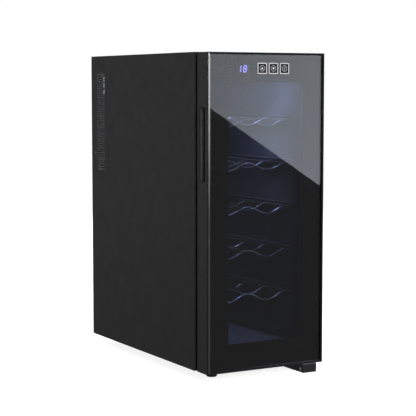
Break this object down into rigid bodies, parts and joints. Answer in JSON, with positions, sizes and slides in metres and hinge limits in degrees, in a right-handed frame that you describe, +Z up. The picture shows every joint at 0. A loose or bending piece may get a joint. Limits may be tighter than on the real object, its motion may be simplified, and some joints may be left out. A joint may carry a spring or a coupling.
{
  "type": "wine cooler",
  "caption": "Slim free-standing thermoelectric wine cooler with a hinged glass door, touch controls behind the pane and sliding wave-wire shelves.",
  "frame": {"origin": "on the floor below the middle of the cabinet's outline", "axes": "+Z up, -Y towards the user (the door faces -Y), +X to the hinge side"},
  "size_m": [0.265, 0.526, 0.64],
  "materials": {
    "black_steel": "satin black powder coat on sheet steel",
    "door_plastic": "satin black lacquer",
    "black_plastic": "fine-grained black moulding",
    "bezel_gloss": "polished black edge",
    "liner_plastic": "vacuum-formed dark grey sheet",
    "foam": "rigid foam",
    "aluminium": "mill finish",
    "ceramic": "white ceramic plate",
    "steel": "zinc plated",
    "fan_plastic": "black moulding",
    "nylon": "white nylon",
    "circuit_board": "green solder mask",
    "lamp_lens": "frosted lens, lit blue",
    "clear_glass": "tinted tempered pane",
    "black_print": "black ceramic print behind the pane",
    "display": "blue-white segments",
    "touch_pad": "sprung copper pad",
    "chrome_wire": "bright chrome plate",
    "foot_rubber": "moulded black rubber",
    "gasket_rubber": "soft black magnetic seal"
  },
  "bodies": {
    "cabinet": {"outer_shell": "black_steel", "left_vent_grille": "black_steel", "right_vent_grille": "black_steel", "base_pan": "black_steel", "rear_panel": "black_steel", "front_collar": "black_plastic", "inner_liner": "liner_plastic", "insulation_foam": "foam", "cold_heat_sink": "aluminium", "cold_block": "aluminium", "peltier_module": "ceramic", "hot_heat_sink": "aluminium", "clamp_screws": "steel", "hot_fan_frame": "fan_plastic", "hot_fan_screws": "steel", "cold_fan_frame": "fan_plastic", "cold_air_duct_cover": "liner_plastic", "temperature_sensor": "nylon", "board_standoffs": "nylon", "power_supply_board": "circuit_board", "mains_inlet": "black_plastic", "led_board": "circuit_board", "led_lens": "lamp_lens", "upper_hinge_bracket": "steel", "upper_hinge_pin": "steel", "lower_hinge_bracket": "steel", "lower_hinge_pin": "steel", "hinge_foot_block": "black_plastic", "hinge_screws": "steel", "front_left_foot": "foot_rubber", "rear_feet": "foot_rubber", "rear_panel_screws": "steel", "shell_screws": "steel"},
    "door": {"door_frame": "door_plastic", "front_bezel": "bezel_gloss", "front_glass": "clear_glass", "glass_mask": "black_print", "spacer_frame": "black_plastic", "inner_glass": "clear_glass", "door_liner": "black_plastic", "door_liner_screws": "steel", "door_gasket": "gasket_rubber", "grip_insert": "black_plastic", "control_board": "circuit_board", "display_module": "display", "touch_pad_up": "touch_pad", "touch_pad_down": "touch_pad", "touch_pad_lamp": "touch_pad", "upper_hinge_bush": "nylon", "lower_hinge_bush": "nylon"},
    "hot_fan_rotor": {"hot_fan_rotor": "fan_plastic"},
    "cold_fan_rotor": {"cold_fan_rotor": "fan_plastic"},
    "shelf_1": {"shelf_1": "chrome_wire"},
    "shelf_2": {"shelf_2": "chrome_wire"},
    "shelf_3": {"shelf_3": "chrome_wire"},
    "shelf_4": {"shelf_4": "chrome_wire"},
    "shelf_5": {"shelf_5": "chrome_wire"}
  },
  "joints": [
    {"name": "door_hinge", "type": "hinge", "parent": "cabinet", "child": "door", "pos_m": [0.1195, -0.234, 0.33], "axis": [0, 0, 1], "range_deg": [0, 110]},
    {"name": "shelf_1_slide", "type": "slide", "parent": "cabinet", "child": "shelf_1", "axis": [0, -1, 0], "range_m": [0, 0.06]},
    {"name": "shelf_2_slide", "type": "slide", "parent": "cabinet", "child": "shelf_2", "axis": [0, -1, 0], "range_m": [0, 0.06]},
    {"name": "shelf_3_slide", "type": "slide", "parent": "cabinet", "child": "shelf_3", "axis": [0, -1, 0], "range_m": [0, 0.06]},
    {"name": "shelf_4_slide", "type": "slide", "parent": "cabinet", "child": "shelf_4", "axis": [0, -1, 0], "range_m": [0, 0.06]},
    {"name": "shelf_5_slide", "type": "slide", "parent": "cabinet", "child": "shelf_5", "axis": [0, -1, 0], "range_m": [0, 0.06]},
    {"name": "hot_fan_spin", "type": "hinge", "parent": "cabinet", "child": "hot_fan_rotor", "pos_m": [0, 0.2385, 0.47], "axis": [0, 1, 0], "continuous": true},
    {"name": "cold_fan_spin", "type": "hinge", "parent": "cabinet", "child": "cold_fan_rotor", "pos_m": [0, 0.1275, 0.47], "axis": [0, 1, 0], "continuous": true}
  ],
  "couplings": [
    {"joint": "shelf_1_slide", "follows": "door_hinge", "m_per_rad": 0.03125},
    {"joint": "shelf_2_slide", "follows": "door_hinge", "m_per_rad": 0.03125},
    {"joint": "shelf_3_slide", "follows": "door_hinge", "m_per_rad": 0.03125},
    {"joint": "shelf_4_slide", "follows": "door_hinge", "m_per_rad": 0.03125},
    {"joint": "shelf_5_slide", "follows": "door_hinge", "m_per_rad": 0.03125}
  ]
}
